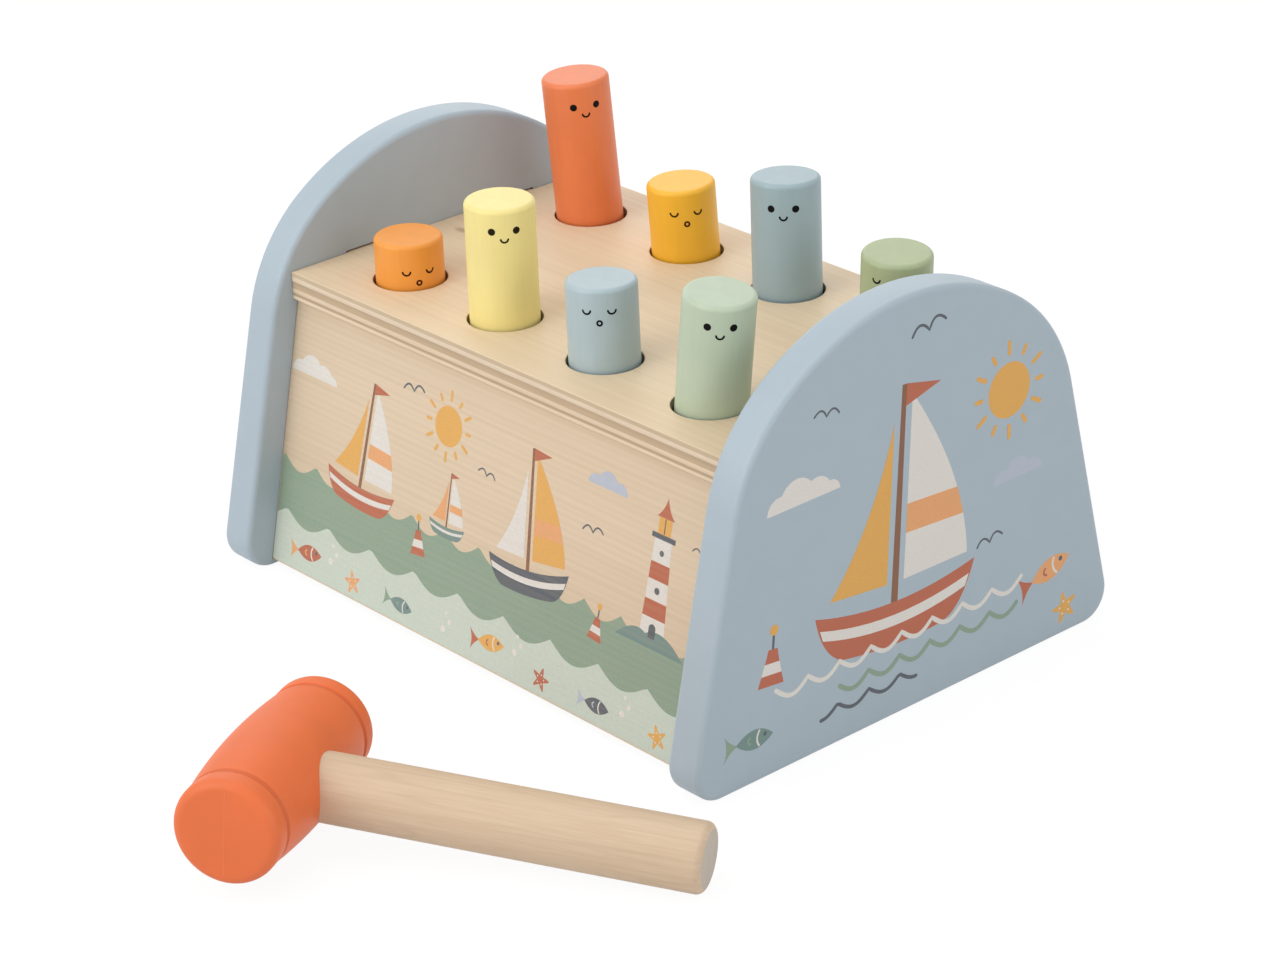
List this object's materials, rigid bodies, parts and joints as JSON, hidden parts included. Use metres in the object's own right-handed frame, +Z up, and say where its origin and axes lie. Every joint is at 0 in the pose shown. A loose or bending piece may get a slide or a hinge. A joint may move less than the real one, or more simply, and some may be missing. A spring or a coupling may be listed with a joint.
{
  "type": "peg pounding bench",
  "caption": "Wooden toy bench with round-topped end panels and two rows of pegs that see-saw in pairs when one is knocked down with the loose mallet.",
  "frame": {"origin": "on the floor, under the middle of the bench", "axes": "+X along the bench to the right end panel, +Y to its back, +Z up"},
  "size_m": [0.2689, 0.3087, 0.1488],
  "materials": {
    "panel_paint": "satin paint on smooth wood",
    "deck_plywood": "clear matt lacquer, plywood layers at the edges",
    "wall_plywood": "clear matt lacquer with a printed scene",
    "base_plywood": "sanded",
    "rod_steel": "drawn",
    "rocker_beech": "sanded",
    "spacer_beech": "sanded",
    "orange_paint": "satin paint",
    "yellow_paint": "satin paint",
    "light_blue_paint": "satin paint",
    "mint_paint": "satin paint",
    "red_paint": "satin paint",
    "mustard_paint": "satin paint",
    "blue_paint": "satin paint",
    "green_paint": "satin paint",
    "mallet_rubber": "satin moulded",
    "handle_wood": "sanded, bare"
  },
  "bodies": {
    "bench": {"left_end_panel": "panel_paint", "right_end_panel": "panel_paint", "top_board": "deck_plywood", "front_board": "wall_plywood", "back_board": "wall_plywood", "base_board": "base_plywood", "pivot_rod": "rod_steel", "end_spacers": "spacer_beech", "middle_spacers": "spacer_beech"},
    "orange_peg": {"orange_peg": "orange_paint"},
    "red_peg": {"red_peg": "red_paint"},
    "rocker_1": {"rocker_1": "rocker_beech"},
    "yellow_peg": {"yellow_peg": "yellow_paint"},
    "mustard_peg": {"mustard_peg": "mustard_paint"},
    "rocker_2": {"rocker_2": "rocker_beech"},
    "light_blue_peg": {"light_blue_peg": "light_blue_paint"},
    "blue_peg": {"blue_peg": "blue_paint"},
    "rocker_3": {"rocker_3": "rocker_beech"},
    "mint_peg": {"mint_peg": "mint_paint"},
    "green_peg": {"green_peg": "green_paint"},
    "rocker_4": {"rocker_4": "rocker_beech"},
    "mallet": {"mallet_head": "mallet_rubber", "mallet_handle": "handle_wood"}
  },
  "joints": [
    {"name": "orange_peg_slide", "type": "slide", "parent": "bench", "child": "orange_peg", "axis": [0, 0, 1], "range_m": [0, 0.034]},
    {"name": "red_peg_slide", "type": "slide", "parent": "bench", "child": "red_peg", "axis": [-0.0422, -0.0485, 0.9979], "range_m": [-0.034, 0]},
    {"name": "rocker_1_pivot", "type": "hinge", "parent": "bench", "child": "rocker_1", "pos_m": [-0.0705, 0, 0.05742], "axis": [-1, 0, 0], "range_deg": [-0.1, 52.95]},
    {"name": "yellow_peg_slide", "type": "slide", "parent": "bench", "child": "yellow_peg", "axis": [0, 0, 1], "range_m": [-0.02465, 0.00935]},
    {"name": "mustard_peg_slide", "type": "slide", "parent": "bench", "child": "mustard_peg", "axis": [-0.031, -0.0357, 0.9989], "range_m": [-0.00935, 0.02465]},
    {"name": "rocker_2_pivot", "type": "hinge", "parent": "bench", "child": "rocker_2", "pos_m": [-0.0235, 0, 0.05742], "axis": [-1, 0, 0], "range_deg": [-38.42, 14.63]},
    {"name": "light_blue_peg_slide", "type": "slide", "parent": "bench", "child": "light_blue_peg", "axis": [-0.0348, 0.0177, 0.9992], "range_m": [-0.01139, 0.02261]},
    {"name": "blue_peg_slide", "type": "slide", "parent": "bench", "child": "blue_peg", "axis": [-0.0428, 0.0372, 0.9984], "range_m": [-0.02261, 0.01139]},
    {"name": "rocker_3_pivot", "type": "hinge", "parent": "bench", "child": "rocker_3", "pos_m": [0.0235, 0, 0.05742], "axis": [-1, 0, 0], "range_deg": [-17.81, 35.25]},
    {"name": "mint_peg_slide", "type": "slide", "parent": "bench", "child": "mint_peg", "axis": [0.1127, 0.0144, 0.9935], "range_m": [-0.02227, 0.01173]},
    {"name": "green_peg_slide", "type": "slide", "parent": "bench", "child": "green_peg", "axis": [0.0639, -0.013, 0.9979], "range_m": [-0.01173, 0.02227]},
    {"name": "rocker_4_pivot", "type": "hinge", "parent": "bench", "child": "rocker_4", "pos_m": [0.0705, 0, 0.05742], "axis": [-1, 0, 0], "range_deg": [-34.72, 18.33]},
    {"name": "mallet_lift", "type": "slide", "parent": "bench", "child": "mallet", "axis": [0, 0, 1], "range_m": [0, 0.2]}
  ],
  "couplings": [
    {"joint": "red_peg_slide", "follows": "orange_peg_slide", "ratio": -1},
    {"joint": "rocker_1_pivot", "follows": "orange_peg_slide", "rad_per_m": 27.13},
    {"joint": "mustard_peg_slide", "follows": "yellow_peg_slide", "ratio": -1},
    {"joint": "rocker_2_pivot", "follows": "yellow_peg_slide", "rad_per_m": 27.13},
    {"joint": "blue_peg_slide", "follows": "light_blue_peg_slide", "ratio": -1},
    {"joint": "rocker_3_pivot", "follows": "light_blue_peg_slide", "rad_per_m": 27.13},
    {"joint": "green_peg_slide", "follows": "mint_peg_slide", "ratio": -1},
    {"joint": "rocker_4_pivot", "follows": "mint_peg_slide", "rad_per_m": 27.13}
  ]
}
